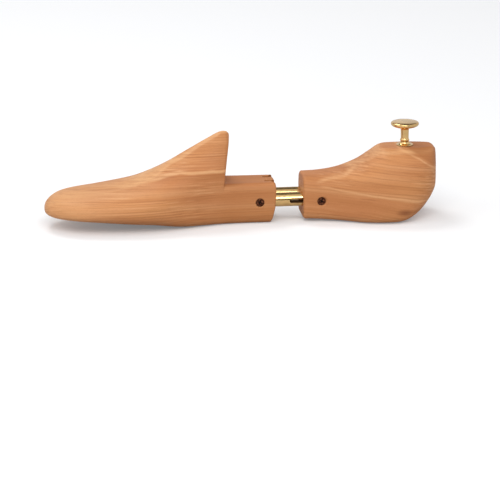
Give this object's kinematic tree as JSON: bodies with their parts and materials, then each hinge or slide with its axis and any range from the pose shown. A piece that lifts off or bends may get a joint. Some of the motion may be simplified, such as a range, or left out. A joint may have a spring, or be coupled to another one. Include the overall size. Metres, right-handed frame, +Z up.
{
  "type": "shoe tree",
  "caption": "Cedar shoe tree with a full forepart and a knobbed heel block, joined by sprung telescopic brass tubes that hinge in the forepart.",
  "frame": {"origin": "under the middle of the bounding box, on the surface that the shoe tree rests on", "axes": "+X from the toe to the heel, +Z up, -Y the side that the screws are driven in from"},
  "size_m": [0.2774, 0.0734, 0.0681],
  "materials": {
    "cedar": "sanded and lightly waxed red cedar with straight grain along the length",
    "polished_brass": "polished",
    "spring_steel": "plain bright",
    "bronzed_steel": "dark bronzed, satin"
  },
  "bodies": {
    "forepart": {"forepart": "cedar", "hinge_screw": "bronzed_steel"},
    "tubes": {"tube_left": "polished_brass", "tube_right": "polished_brass", "tube_plug_left": "polished_brass", "tube_plug_right": "polished_brass"},
    "heel": {"heel": "cedar", "stop_screw": "bronzed_steel", "spring_left": "spring_steel", "spring_right": "spring_steel", "spring_seat_left": "spring_steel", "spring_seat_right": "spring_steel", "knob": "polished_brass", "knob_rosette": "polished_brass", "knob_stud": "spring_steel"}
  },
  "joints": [
    {"name": "heel_tilt", "type": "hinge", "parent": "forepart", "child": "tubes", "pos_m": [0.0121, 0, 0.0156], "axis": [0, -1, 0], "range_deg": [0, 38]},
    {"name": "spring_travel", "type": "slide", "parent": "tubes", "child": "heel", "axis": [-1, 0, 0], "range_m": [0, 0.014], "stiffness_N_per_m": 1200, "springref_m": -0.008, "deforming": ["spring_left", "spring_right"]}
  ]
}
